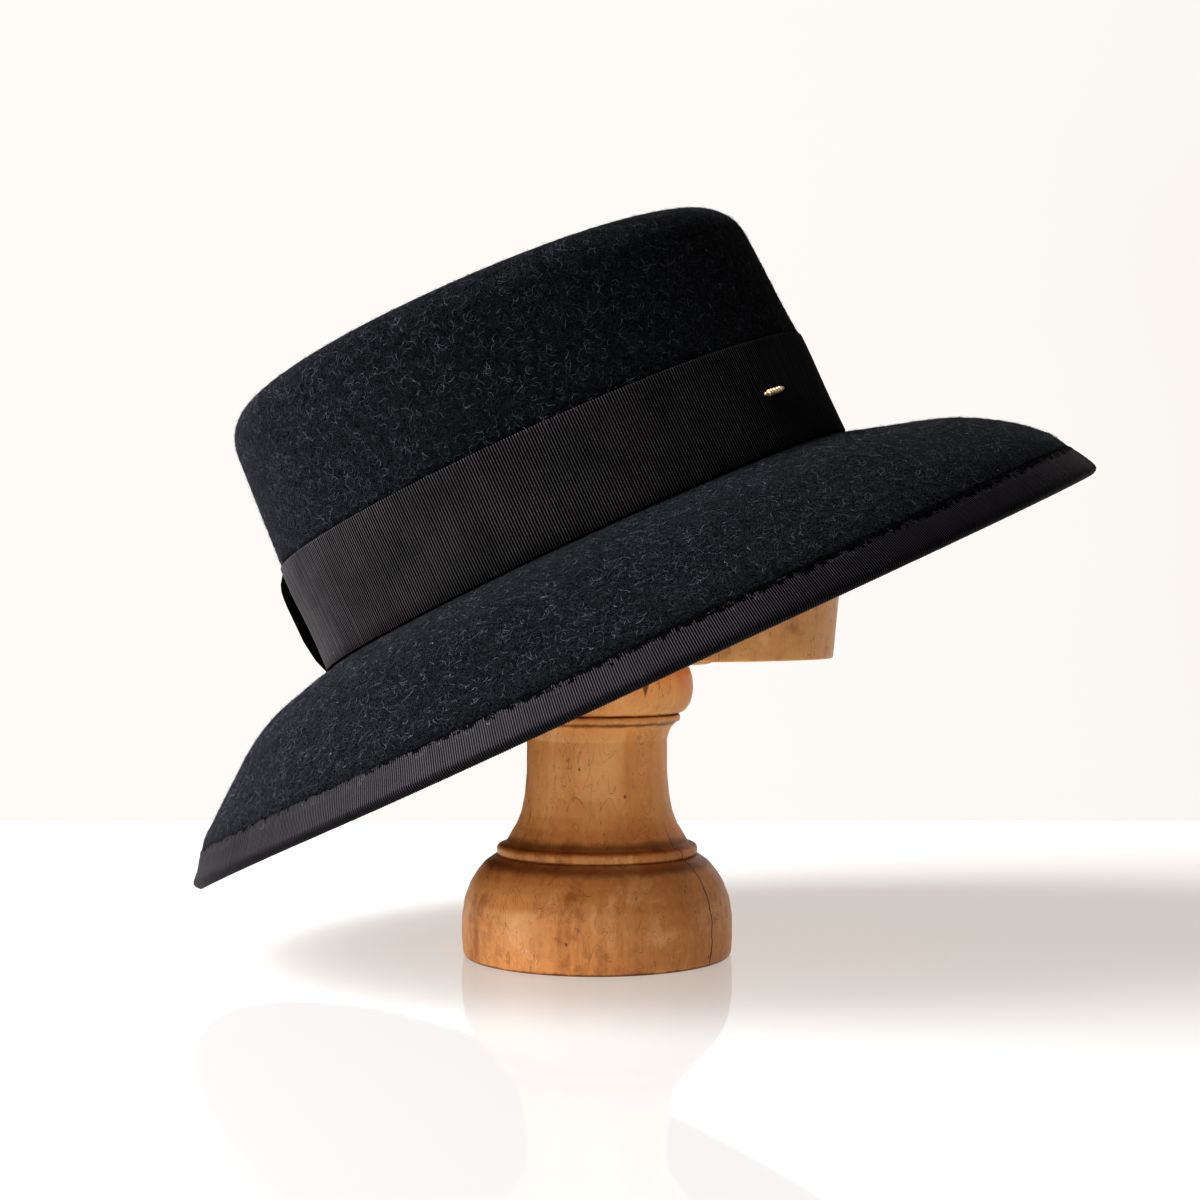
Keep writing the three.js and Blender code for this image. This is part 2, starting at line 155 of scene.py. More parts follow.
# Stage, in metres. Lamps: name, place, target, size, watts, colour
TABLE_EDGE = 0.441
WALL_BACK = 2.2
CAMERA_PLACE = (0.00108, -0.737, 0.1275)
CAMERA_LENS = 61.2
LAMPS = (
    ("window", (-1.75, -0.75, 1.35), (0, 0, 0.15), (1.7, 1.7), 120, (1.0, 0.99, 0.98)),
    ("front_fill", (-0.6, -2.4, 0.35), (0, 0, 0.12), (1.8, 0.9), 4, (1.0, 0.98, 0.97)),
    ("left_fill", (-1.7, -0.7, 0.14), (0, 0, 0.1), (1.0, 0.5), 9, (1.0, 0.99, 0.98)),
)

# Share of the brim's reach, and share of its drop at front and back
BRIM_OUT_SHARES = (0, .08, .2, .35, .5, .65, .78, .88, .95, 1)
BRIM_FRONT_SHARES = (0, .043, .101, .168, .248, .367, .503, .655, .844, 1)
BRIM_BACK_SHARES = (0, .032, .085, .16, .284, .473, .64, .763, .922, 1)

hat_place = (
    Matrix.Translation((HAT_SHIFT, 0, BLOCK_BASE + HAT_RISE))
    @ Matrix.Rotation(math.radians(-HAT_TILT), 4, "Y")
    @ Matrix.Rotation(math.radians(HAT_ROLL), 4, "X")
)


# Small helpers for arrays

def unit(vectors):
    length = np.linalg.norm(vectors, axis=-1, keepdims=True)
    return vectors / np.maximum(length, 1e-9)


def smooth(value, low, high):
    share = np.clip((value - low) / (high - low), 0, 1)
    return share * share * (3 - 2 * share)


def waves(seed, angle, place, turns=(1, 7)):
    """A gentle unevenness about 1 high that closes on itself round the hat."""
    rng = np.random.default_rng(seed)
    total = np.zeros(np.broadcast(angle, place).shape)
    for _ in range(WAVE_COUNT):
        around = rng.integers(turns[0], turns[1] + 1)
        along = rng.uniform(*WAVE_STEPS)
        shift = rng.uniform(0, TURN, 2)
        total += np.cos(around * angle + shift[0]) * np.cos(along * place + shift[1])
    return total / math.sqrt(WAVE_COUNT)


def moved(points, matrix):
    turned = np.array(matrix.to_3x3())
    return points @ turned.T + np.array(matrix.translation)


def lengths_along(path):
    """Length from the start of a path to each of its points."""
    return np.concatenate([[0], np.cumsum(np.linalg.norm(np.diff(path, axis=0), axis=1))])


def read_path(path, length, wanted):
    """Points of a flat path at the wanted lengths from its start."""
    return np.stack([np.interp(wanted, length, path[:, part]) for part in range(2)], 1)


def right_of(ahead):
    """Directions a quarter turn to the right of flat ones."""
    return np.stack([ahead[:, 1], -ahead[:, 0]], 1)


# Building meshes

def mesh_piece(name, points, faces, material, node=None, values=None, place=None):
    """Makes a piece from points in millimetres and lets it ride on the part's only body."""
    if place is not None:
        points = moved(points, place)
    mesh = bpy.data.meshes.new(name)
    mesh.from_pydata((points * MM).tolist(), [], faces)
    for key, numbers in (values or {}).items():
        store = mesh.attributes.new(key, "FLOAT", "POINT")
        store.data.foreach_set("value", np.ascontiguousarray(numbers, dtype=np.float32).ravel())
    mesh.polygons.foreach_set("use_smooth", [True] * len(mesh.polygons))
    mesh.materials.append(material)
    mesh.update()
    piece = bpy.data.objects.new(name, mesh)
    bpy.context.scene.collection.objects.link(piece)
    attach(piece, "root")
    if node:
        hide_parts(node)


def grid_faces(rows, sides, closed_rows):
    """Faces of a grid that closes round its sides. Open ends get a fan to an extra middle point."""
    index = np.arange(rows * sides).reshape(rows, sides)
    if closed_rows:
        index = np.vstack([index, index[:1]])
    here, below = index[:-1], index[1:]
    quads = np.stack([here, below, np.roll(below, -1, 1), np.roll(here, -1, 1)], -1)
    faces = quads.reshape(-1, 4).tolist()
    if not closed_rows:
        first, last = rows * sides, rows * sides + 1
        for side in range(sides):
            beside = (side + 1) % sides
            faces.append((first, side, beside))
            faces.append((last, index[-1, beside], index[-1, side]))
    return faces


def grid_piece(name, grid, material, node, values=None, place=None, closed_rows=False):
    """A piece from a grid of points. Both ends of an open grid get their extra middle point here."""
    points = grid.reshape(-1, 3)
    if not closed_rows:
        points = np.vstack([points, grid[0].mean(0), grid[-1].mean(0)])
    faces = grid_faces(*grid.shape[:2], closed_rows)
    mesh_piece(name, points, faces, material, node, values, place)


def grid_normals(grid):
    down = np.gradient(grid, axis=0)
    along = np.roll(grid, -1, 1) - np.roll(grid, 1, 1)
    return unit(np.cross(down, along))


# The hat's outer surface, as in the solids

def crown_point(angle, height, inset):
    x = (CROWN_LENGTH - inset) * np.cos(angle)
    y = (CROWN_WIDTH - inset) * np.sin(angle)
    fall = CROWN_FALL * height * x / (CROWN_HEIGHT * CROWN_LENGTH)
    return np.stack(np.broadcast_arrays(x, y, height - fall), -1)


def crown_foot(angle):
    return crown_point(angle, 0 * angle, 0)


def crown_out(angle):
    x, y = np.cos(angle) / CROWN_LENGTH, np.sin(angle) / CROWN_WIDTH
    return unit(np.stack(np.broadcast_arrays(x, y, 0 * x), -1))


def wall_inset(height):
    return CROWN_TAPER * np.maximum(0, height - BAND_STEP) / (CROWN_HEIGHT - BAND_STEP)


def spline(shares, way):
    """A uniform Catmull-Rom curve through the shares, for a way from 0 to 1."""
    values = np.array(shares, float)
    last = len(values) - 1
    place = np.clip(way, 0, 1) * last
    start = np.minimum(place.astype(int), last - 1)
    t = place - start
    a, b = values[np.maximum(start - 1, 0)], values[start]
    c, d = values[start + 1], values[np.minimum(start + 2, last)]
    enter, leave = (c - a) / 2, (d - b) / 2
    cubic, square = 2 * b - 2 * c + enter + leave, 3 * c - 3 * b - 2 * enter - leave
    return cubic * t**3 + square * t**2 + enter * t + b


def brim_sized(angle, sizes):
    end = np.where(np.cos(angle) > 0, sizes[0], sizes[1])
    return sizes[2] + (end - sizes[2]) * np.cos(angle) ** 2


def brim_point(angle, way):
    foot = crown_foot(angle)
    outward = unit(np.stack(np.broadcast_arrays(
        foot[..., 0] / CROWN_LENGTH**2, foot[..., 1] / CROWN_WIDTH**2, 0 * angle), -1))
    out = brim_sized(angle, BRIM_OUT) * spline(BRIM_OUT_SHARES, way)
    front_share = (1 + np.cos(angle)) / 2
    fall = spline(BRIM_BACK_SHARES, way) * (1 - front_share) + spline(BRIM_FRONT_SHARES, way) * front_share
    point = foot + outward * out[..., None]
    point[..., 2] = -brim_sized(angle, BRIM_DROP) * fall
    point[..., 2] += 0.35 * waves(3, angle, way * 6) * smooth(way, 0.05, 0.4)
    return point


def brim_edge(angle):
    return brim_point(angle, 0 * angle + 1)


class Brim:
    """The brim over a set of angles, read by the distance in from its edge."""

    def __init__(self, angles, rows=150):
        ways = np.linspace(0, 1, rows)[:, None] ** 0.8 + 0 * angles
        around = angles + 0 * ways
        self.sides = len(angles)
        self.points = brim_point(around, ways)
        steps = np.linalg.norm(np.diff(self.points, axis=0), axis=2)
        total = np.vstack([np.zeros((1, self.sides)), np.cumsum(steps, 0)])
        self.from_edge = total[-1] - total
        down = np.gradient(self.points, axis=0)
        ahead = brim_point(around + 0.002, ways)
        self.normals = unit(np.cross(down, ahead - self.points))

    def at(self, distances, rises):
        """Points at distances in from the edge (rows by angles), lifted off the surface."""
        made = np.empty(distances.shape + (3,))
        for side in range(self.sides):
            reach = self.from_edge[::-1, side]
            for part in range(3):
                point = np.interp(distances[:, side], reach, self.points[::-1, side, part])
                normal = np.interp(distances[:, side], reach, self.normals[::-1, side, part])
                made[:, side, part] = point + normal * rises[:, side]
        return made


def even_angles(count, curve):
    """Angles that share a closed curve into stretches of one length."""
    dense = np.linspace(0, TURN, 4000)
    length = lengths_along(curve(dense))
    return np.interp(np.arange(count) / count * length[-1], length, dense), length[-1]


def ribbed_angles(curve, pitch, steps):
    """The number of ribs that a closed curve takes, and the angles of their stations."""
    ribs = round(even_angles(4, curve)[1] / pitch)
    return ribs, even_angles(ribs * steps, curve)[0]


# Materials

def add(tree, kind, inputs=None, **settings):
    made = tree.nodes.new("ShaderNode" + kind)
    for key, value in settings.items():
        setattr(made, key, value)
    for key, value in (inputs or {}).items():
        if isinstance(value, bpy.types.NodeSocket):
            tree.links.new(value, made.inputs[key])
        else:
            made.inputs[key].default_value = value
    return made


def maths(tree, operation, first, second=0.0):
    return add(tree, "Math", {0: first, 1: second}, operation=operation).outputs[0]


def times(tree, first, second):
    return maths(tree, "MULTIPLY", first, second)


def plus(tree, first, second):
    return maths(tree, "ADD", first, second)


def minus(tree, first, second):
    return maths(tree, "SUBTRACT", first, second)


def swing(tree, value, amount):
    """Turns a value from 0 to 1 into one that swings both ways about 0."""
    return times(tree, minus(tree, value, 0.5), amount)


def between(tree, value, low, high, start=0.0, end=1.0):
    inputs = {"Value": value, "From Min": low, "From Max": high, "To Min": start, "To Max": end}
    return add(tree, "MapRange", inputs, interpolation_type="SMOOTHSTEP").outputs[0]


def mixed(tree, share, first, second):
    colours = [value if isinstance(value, bpy.types.NodeSocket) else (*value, 1) for value in (first, second)]
    return add(tree, "Mix", {0: share, 6: colours[0], 7: colours[1]}, data_type="RGBA").outputs[2]


def parts_of(tree, vector):
    return add(tree, "SeparateXYZ", {"Vector": vector}).outputs


def stretched(tree, vector, scale, turned=(0, 0, 0), moved_by=(0, 0, 0)):
    inputs = {"Vector": vector, "Scale": scale, "Rotation": turned, "Location": moved_by}
    return add(tree, "Mapping", inputs).outputs[0]


def noise(tree, vector, scale, detail=2.0, roughness=0.5, distortion=0.0):
    inputs = {"Vector": vector, "Scale": scale, "Detail": detail, "Roughness": roughness,
              "Distortion": distortion}
    return add(tree, "TexNoise", inputs).outputs[0]


def ridges(tree, vector, scale, width, distortion=0.6):
    """Thin curling lines along which a noise crosses its middle."""
    value = noise(tree, vector, scale, 1.0, 0.5, distortion)
    away = maths(tree, "ABSOLUTE", minus(tree, value, 0.5))
    return between(tree, away, 0.0, width, 1.0, 0.0)


def bumped(tree, height, distance, strength=1.0):
    inputs = {"Height": height, "Distance": distance, "Strength": strength}
    return add(tree, "Bump", inputs).outputs[0]


def new_material(name):
    material = bpy.data.materials.new(name)
    material.use_nodes = True
    tree = material.node_tree
    shader = tree.nodes["Principled BSDF"]
    coords = add(tree, "TexCoord").outputs["Object"]
    return material, tree, shader, coords


def wire(tree, shader, links, values):
    for key, socket in links.items():
        tree.links.new(socket, shader.inputs[key])
    for key, value in values.items():
        shader.inputs[key].default_value = value


def felt_material():
    material, tree, shader, coords = new_material("felt")
    total = None
    for step, (scale, width, weight) in enumerate(FELT_LINES):
        turned = (0.5 * step, 0.9 * step, 0.3)
        shifted = stretched(tree, coords, (1, 1, 1), turned, (0.3 * step, 0.1, 0.2))
        line = ridges(tree, shifted, scale, width, 1.6)
        patch = between(tree, noise(tree, shifted, scale * 0.5, 1.0), 0.3, 0.5, 0.25)
        line = times(tree, times(tree, line, patch), weight)
        total = line if total is None else maths(tree, "MAXIMUM", total, line)
    cloud = noise(tree, coords, 40, 3.0, 0.6)
    ground = mixed(tree, between(tree, cloud, 0.3, 0.7), FELT_DEEP, FELT_GROUND)
    colour = mixed(tree, total, ground, FELT_LINE)
    speck = add(tree, "TexVoronoi", {"Vector": coords, "Scale": 160, "Randomness": 1.0})
    dot = between(tree, speck.outputs["Distance"], 0.03, 0.07, 1.0, 0.0)
    rare = add(tree, "SeparateColor", {"Color": speck.outputs["Color"]}).outputs[0]
    dot = times(tree, dot, maths(tree, "GREATER_THAN", rare, 0.93))
    colour = mixed(tree, dot, colour, FELT_SPECK)
    grain = noise(tree, coords, 1500, 2.0, 0.6)
    height = plus(tree, times(tree, total, 0.8), times(tree, grain, 0.4))
    wire(tree, shader, {"Base Color": colour, "Normal": bumped(tree, height, 0.00035)},
         {"Roughness": 0.95, "Specular IOR Level": 0.05, "Sheen Weight": 0.08, "Sheen Roughness": 0.25,
          "Sheen Tint": (0.8, 0.85, 1.0, 1)})
    return material


def fibre_material():
    material, tree, shader, _ = new_material("felt_fibres")
    tone = add(tree, "Attribute", attribute_name="tone").outputs["Fac"]
    colour = mixed(tree, maths(tree, "POWER", tone, 2.5), FIBRE_DARK, FIBRE_PALE)
    wire(tree, shader, {"Base Color": colour},
         {"Roughness": 0.8, "Specular IOR Level": 0.1, "Sheen Weight": 0.04})
    return material


def ribbon_material(name, tones, shadow_from=None, shaded_copy=False):
    """Ribbed ribbon, with painted shade in the valleys between its ribs. rib is 0 in a valley and 1 on a rib,
    across is the place over its width.

    shadow_from is the place over its width past which a ragged, dark painted shadow lies, where the ribbon
    meets the felt.
    """
    material, tree, shader, coords = new_material(name)
    rib = add(tree, "Attribute", attribute_name="rib").outputs["Fac"]
    across = add(tree, "Attribute", attribute_name="across").outputs["Fac"]
    worn = noise(tree, coords, 60, 3.0, 0.6)
    high = mixed(tree, between(tree, worn, 0.3, 0.7), *tones)
    # Painted shade: the valleys between the ribs take a near-black colour
    colour = mixed(tree, between(tree, rib, 0.35, 0.92), RIB_VALLEY_SHADE, high)
    shine = between(tree, rib, 0.3, 1.0, 0.2, 1.0)
    # Painted shadow: a ragged dark strip without shine along the edge that meets the felt, narrower towards
    # the left
    if shadow_from:
        jag = swing(tree, noise(tree, coords, 560, 1.0, 0.5, 0.6), 6.5)
        reach = minus(tree, plus(tree, across, jag), times(tree, rib, 0.9))
        right = parts_of(tree, coords)[0]
        reach = minus(tree, reach, between(tree, right, -0.09, 0.01, 1.5, 0.0))
        edge_shadow = between(tree, reach, shadow_from, shadow_from + 0.25)
        colour = mixed(tree, edge_shadow, colour, RIBBON_EDGE_SHADOW)
        shine = times(tree, shine, between(tree, edge_shadow, 0.0, 1.0, 1.0, 0.16))
        near_edge = between(tree, across, shadow_from - 1.4, shadow_from - 0.5)
        thread = ridges(tree, coords, 760, 0.018, 1.0)
        frayed = between(tree, noise(tree, coords, 300, 1.0), 0.54, 0.6, 0.0, 0.7)
        thread = times(tree, times(tree, thread, frayed), near_edge)
        colour = mixed(tree, thread, colour, RIBBON_THREAD)
    lint = ridges(tree, coords, 90, 0.0016, 1.5)
    lint = times(tree, lint, between(tree, noise(tree, coords, 130, 1.0), 0.66, 0.72))
    colour = mixed(tree, times(tree, lint, 0.7), colour, RIBBON_LINT)
    threads = noise(tree, coords, 2600, 2.0, 0.7)
    # A shaded copy loses its shine, as part of the painted shade
    gloss, sheen = (0.03, 0.0) if shaded_copy else (0.28, 0.07)
    wire(tree, shader,
         {"Base Color": colour, "Normal": bumped(tree, threads, 0.00006, 0.8),
          "Specular IOR Level": times(tree, shine, gloss),
          "Sheen Weight": times(tree, shine, sheen)},
         {"Roughness": 0.52, "Sheen Roughness": 0.25, "Sheen Tint": (1.0, 0.92, 0.95, 1)})
    return material


def gilt_material():
    material, tree, shader, coords = new_material("gilt")
    dirt = between(tree, noise(tree, coords, 1400, 3.0, 0.6), 0.35, 0.65)
    colour = mixed(tree, dirt, *GILT_TONES)
    rough = between(tree, noise(tree, coords, 900, 2.0), 0.3, 0.7, 0.16, 0.38)
    wire(tree, shader, {"Base Color": colour, "Roughness": rough}, {"Metallic": 0.45})
    return material


def near_spot(tree, parts, place, reach):
    """1 at a place on the camera side, fading to 0 at a reach across and up, both in millimetres."""
    ways = []
    for part, middle, far in zip((parts[0], parts[2]), place, reach):
        away = maths(tree, "ABSOLUTE", minus(tree, part, middle * MM))
        ways.append(maths(tree, "DIVIDE", away, far * MM))
    spot = between(tree, plus(tree, *ways), 0.55, 1.0, 1.0, 0.0)
    return times(tree, spot, maths(tree, "LESS_THAN", parts[1], 0.0))


def wood_material(name, along, tones, shade_bands=(), turned=False):
    """Aged wood. along stretches the grain, shade_bands are (height, half width, strength) rings of painted
    shade.
    """
    material, tree, shader, coords = new_material(name)
    dark, middle, light = tones
    long = stretched(tree, coords, along)
    bend = noise(tree, long, 14, 2.0)
    grain = noise(tree, long, 150, 5.0, 0.65, 0.5)
    streak = noise(tree, long, 620, 3.0, 0.7)
    blotch = noise(tree, coords, 30, 4.0, 0.6, 0.6)
    small = noise(tree, coords, 170, 4.0, 0.65, 0.8)
    share = plus(tree, times(tree, grain, 0.3), times(tree, blotch, 0.45))
    share = plus(tree, share, times(tree, small, 0.25))
    colour = mixed(tree, between(tree, share, 0.36, 0.5), dark, middle)
    colour = mixed(tree, between(tree, share, 0.5, 0.64), colour, light)
    colour = mixed(tree, between(tree, streak, 0.55, 0.75, 0.0, 0.2), colour, dark)
    colour = mixed(tree, between(tree, bend, 0.35, 0.7, 0.0, 0.3), colour, middle)
    parts = parts_of(tree, coords)
    if turned:
        # Painted light: paler and yellower from 34 mm up to 58 mm, in soft streaks
        painted_light = between(tree, parts[2], 0.034, 0.058, 0.0, 0.8)
        streaks = noise(tree, stretched(tree, coords, (1, 1, 0.3)), 75, 4.0, 0.6, 0.5)
        streaks = plus(tree, times(tree, streaks, 0.5), times(tree, share, 0.5))
        colour = mixed(tree, painted_light, colour, mixed(tree, between(tree, streaks, 0.3, 0.7), *WOOD_PAINTED_LIGHT))
    lines = None
    for step, (scale, width, low, strength) in enumerate(WOOD_LINES):
        bent = (0.4 * step, 0.9 - 0.7 * step, 0.3)
        shifted = stretched(tree, coords, (1, 1, 0.35), bent, (0.1 * step, 0.3, 0.2))
        line = ridges(tree, shifted, scale, width, 1.3)
        patch = noise(tree, shifted, 55 + 25 * step, 1.0)
        line = times(tree, line, between(tree, patch, low, low + 0.08, 0.0, strength))
        lines = line if lines is None else maths(tree, "MAXIMUM", lines, line)
    colour = mixed(tree, lines, colour, WOOD_LINE)
    shifted = stretched(tree, coords, (1, 1, 0.7), (0.2, 0.4, 0.6), (0.7, 0.2, 0.4))
    worn = between(tree, noise(tree, coords, 80, 1.0), 0.5, 0.6, 0.0, 0.25)
    worn = times(tree, ridges(tree, shifted, 240, 0.01, 1.0), worn)
    colour = mixed(tree, worn, colour, WOOD_WORN)
    cells = add(tree, "TexVoronoi", {"Vector": stretched(tree, coords, (1, 1, 0.7)), "Scale": 210})
    pit = between(tree, cells.outputs["Distance"], 0.06, 0.13, 1.0, 0.0)
    rare = add(tree, "SeparateColor", {"Color": cells.outputs["Color"]}).outputs[1]
    pit = times(tree, pit, maths(tree, "GREATER_THAN", rare, 0.88))
    colour = mixed(tree, times(tree, pit, 0.7), colour, WOOD_PIT)
    dents = plus(tree, lines, pit)
    # Painted shade in bands round the pedestal, under and over its rings and where it meets the table
    for level, half, strength in shade_bands:
        away = maths(tree, "ABSOLUTE", minus(tree, parts[2], level * MM))
        away = plus(tree, away, swing(tree, small, 0.0016))
        colour = mixed(tree, between(tree, away, 0.0, half * MM, strength, 0.0), colour, WOOD_BAND_SHADE)
    if turned:
        around = maths(tree, "ARCTAN2", parts[1], parts[0])
        around = plus(tree, plus(tree, around, math.radians(CRACK_TURN)),
                      swing(tree, noise(tree, coords, 70, 3.0), 0.16))
        crack = between(tree, maths(tree, "ABSOLUTE", around), 0.002, 0.0085, 1.0, 0.0)
        crack = times(tree, crack, between(tree, parts[2], 0.043, 0.051, 1.0, 0.0))
        colour = mixed(tree, crack, colour, WOOD_CRACK)
        knot = near_spot(tree, parts, *WOOD_KNOT)
        colour = mixed(tree, times(tree, knot, 0.85), colour, KNOT_BROWN)
        scuffs = ridges(tree, stretched(tree, coords, (1, 1, 1), (0, 0.7, 0)), 300, 0.016, 0.8)
        scuffs = times(tree, times(tree, scuffs, 0.75), near_spot(tree, parts, *WOOD_SCUFFS))
        colour = mixed(tree, scuffs, colour, SCUFF_PALE)
        dents = maths(tree, "MAXIMUM", dents, times(tree, crack, 1.4))
    relief = plus(tree, times(tree, grain, 0.35), times(tree, streak, 0.2))
    relief = bumped(tree, minus(tree, relief, dents), 0.0002, 0.7)
    rough = between(tree, small, 0.3, 0.7, 0.34, 0.54)
    wire(tree, shader, {"Base Color": colour, "Roughness": rough, "Normal": relief},
         {"Specular IOR Level": 0.35, "Coat Weight": 0.06, "Coat Roughness": 0.22})
    return material


felt = felt_material()
fibres = fibre_material()
band_ribbon = ribbon_material("band_ribbon", BAND_TONES)
binding_ribbon = ribbon_material("binding_ribbon", BINDING_TONES, shadow_from=EDGE_SHADOW_FROM)
# Painted shade: the bow and its knot get a darker copy of the band's ribbon, with its shine taken away
shaded_bow_ribbon = ribbon_material("shaded_bow_ribbon", BOW_SHADE_TONES, shaded_copy=True)
gilt = gilt_material()
maple = wood_material("maple", (1, 1, 0.09), MAPLE_TONES, PEDESTAL_SHADE_BANDS, turned=True)
limewood = wood_material("limewood", (0.09, 1, 1), LIMEWOOD_TONES)


# Crown and brim

def crown_grid(angles):
    """The crown's outer surface from the middle of its top to the band, in rows."""
    wall_height = CROWN_HEIGHT - CROWN_CORNER
    top_inset = wall_inset(wall_height) + CROWN_CORNER
    rows = []
    for share in np.linspace(0.03, 0.97, 26):
        rim = crown_point(angles, CROWN_HEIGHT + 0 * angles, top_inset)
        rise = CROWN_DOME * (1 - share * share)
        high = CROWN_HEIGHT + (rim[:, 2] - CROWN_HEIGHT) * share + rise
        rows.append(np.stack([rim[:, 0] * share, rim[:, 1] * share, high], 1))
    for step in range(13):
        bend = step / 12 * math.pi / 2
        high = wall_height + CROWN_CORNER * math.cos(bend)
        rows.append(crown_point(angles, high + 0 * angles, top_inset - CROWN_CORNER * math.sin(bend)))
    for high in np.linspace(wall_height, BAND_STEP, 17)[1:]:
        rows.append(crown_point(angles, high + 0 * angles, wall_inset(high)))
    grid = np.array(rows)
    place = np.linspace(0, 3, len(grid))[:, None]
    fade = smooth(place, 0, 1) * (1 - smooth(place, 2.7, 3))
    bumps = waves(11, angles[None, :], place * 2, (1, 6)) * fade
    return grid + grid_normals(grid) * (0.32 * bumps)[..., None]


def make_felt():
    sides = 288
    angles = np.arange(sides) / sides * TURN
    crown = crown_grid(angles)
    brim = Brim(angles)
    start = BINDING_WIDTH - CLEARANCE

    def reaches(first, last, count):
        rows = np.linspace(first, last, count)[:, None]
        return brim.from_edge[0] * (1 - rows) + start * rows

    # Down over the brim, round its edge under the binding, back below it and up inside the crown
    reach = reaches(0, 1, 54)
    open_brim = brim.at(reach, 0 * reach)
    under = np.array([[start, -PRESS], [7, -PRESS], [1.6, -PRESS], [1.3, -1.6], [1.6, -FELT], [7, -FELT]])
    tucked = brim.at(np.repeat(under[:, :1], sides, 1), np.repeat(under[:, 1:], sides, 1))
    reach = reaches(1, 0, 28)
    below = brim.at(reach, 0 * reach - FELT)
    behind = np.array([crown_point(angles, high + 0 * angles, PRESS) for high in (BAND_STEP, 0.6)])
    inner_crown = (crown - grid_normals(crown) * FELT)[::2]
    inner_foot = np.array([crown_point(angles, 2.0 + 0 * angles, FELT)])
    grid = np.concatenate([crown, behind, open_brim, tucked, below[:-1], inner_foot, inner_crown[::-1]])
    grid_piece("felt_hat", grid, felt, "felt_body", place=hat_place)
    return crown, open_brim


def make_fibres(name, grid, count, seed):
    """Short curled fibres that lie over a surface, as thin tapering strips."""
    rng = np.random.default_rng(seed)
    normals = grid_normals(grid)
    across = np.linalg.norm(np.roll(grid, -1, 1) - grid, axis=2)[:-1]
    down = np.linalg.norm(np.diff(grid, axis=0), axis=2)
    weight = across * down
    cell = rng.choice(weight.size, count, p=(weight / weight.sum()).ravel())
    row, side = np.divmod(cell, grid.shape[1])
    beside = (side + 1) % grid.shape[1]
    s, t = rng.uniform(0, 1, (2, count, 1))

    def blend(values):
        low = values[row, side] * (1 - s) + values[row, beside] * s
        high = values[row + 1, side] * (1 - s) + values[row + 1, beside] * s
        return low * (1 - t) + high * t

    root, normal = blend(grid), unit(blend(normals))
    first = unit(np.cross(normal, rng.normal(size=(count, 3))))
    second = np.cross(normal, first)
    heading = rng.uniform(0, TURN, count)
    curl = rng.choice((-1.0, 1.0), count) * rng.uniform(*FIBRE_CURL, count)
    sway = rng.uniform(0, TURN, count)
    lift = np.abs(rng.normal(0, 0.1, count)) + 0.02
    length = rng.uniform(*FIBRE_LENGTH, count)
    width = rng.uniform(*FIBRE_WIDTH, count)
    last = FIBRE_STATIONS - 1
    points = np.empty((count, 2 * last + 1, 3))
    place = root + normal * 0.02
    for station in range(FIBRE_STATIONS):
        heading = heading + curl + 0.35 * np.cos(sway + 1.7 * station)
        direction = first * np.cos(heading)[:, None] + second * np.sin(heading)[:, None]
        sideways = np.cross(normal, direction)
        sideways = sideways * 0.8 + normal * rng.uniform(-0.6, 0.6, (count, 1))
        if station == last:
            points[:, -1] = place
            break
        half = (width * (1 - 0.16 * station) / 2)[:, None]
        points[:, 2 * station] = place - sideways * half
        points[:, 2 * station + 1] = place + sideways * half
        stride = (length / last)[:, None]
        place = place + direction * stride + normal * stride * lift[:, None]
    base = np.arange(count)[:, None] * points.shape[1]
    lows = range(0, 2 * last - 2, 2)
    quads = np.concatenate([base + np.array([[low, low + 1, low + 3, low + 2]]) for low in lows])
    tips = base + 2 * last + np.array([[-2, -1, 0]])
    faces = quads.tolist() + tips.tolist()
    tone = np.repeat(rng.uniform(0, 1, count)[:, None], points.shape[1], 1)
    mesh_piece(name, points.reshape(-1, 3), faces, fibres, values={"tone": tone}, place=hat_place)


# Ribbons

def rib_heights(count, steps, seed, amplitude):
    """Height of each station over ribs of one pitch, with small differences between ribs."""
    rng = np.random.default_rng(seed)
    phase = np.arange(count * steps) % steps / steps
    shape = 0.5 - 0.5 * np.cos(TURN * phase)
    each = np.repeat(rng.uniform(0.75, 1.1, count), steps)
    return shape, (shape * each - 0.5) * amplitude


def make_band():
    ribs, angles = ribbed_angles(crown_foot, RIB_PITCH, RIB_STEPS)
    rib, bump = rib_heights(ribs, RIB_STEPS, 5, 0.5)
    # Section of the band: height, rise off the crown, how ribbed it is
    section = [(0.5, 0.1, 0.8)]
    section += [(high, 0.42, 1.0) for high in np.linspace(0.9, BAND_TOP - 0.6, 9)]
    section += [(BAND_TOP - 0.15, 0.35, 1.0), (BAND_TOP + 0.1, 0.1, 0.6)]
    section += [(BAND_TOP, -0.75, 0.0), (20, -0.75, 0.0), (0.5, -0.75, 0.0)]
    rows, across, rib_shade = [], [], []
    for high, out, ribbed in section:
        level = high + 0 * angles
        if high > BAND_TOP - 0.3:
            level = level + 0.3 * (rib - 0.5)
        wander = 0.22 * waves(21, angles, high / BAND_WIDTH * 3, (2, 9)) * (out > 0)
        point = crown_point(angles, level, wall_inset(level))
        rows.append(point + crown_out(angles) * (out + wander + bump * ribbed)[:, None])
        across.append(level)
        # Rows that lie close on the crown, at the band's top and bottom edges and inside it, take mostly the
        # painted valley shade
        rib_shade.append(rib * (1.0 if 0.2 < out else 0.15))
    grid = np.array(rows)[::-1]
    values = {"rib": np.array(rib_shade)[::-1], "across": np.array(across)[::-1]}
    grid_piece("ribbed_band", grid, band_ribbon, "hat_band", values, hat_place, closed_rows=True)


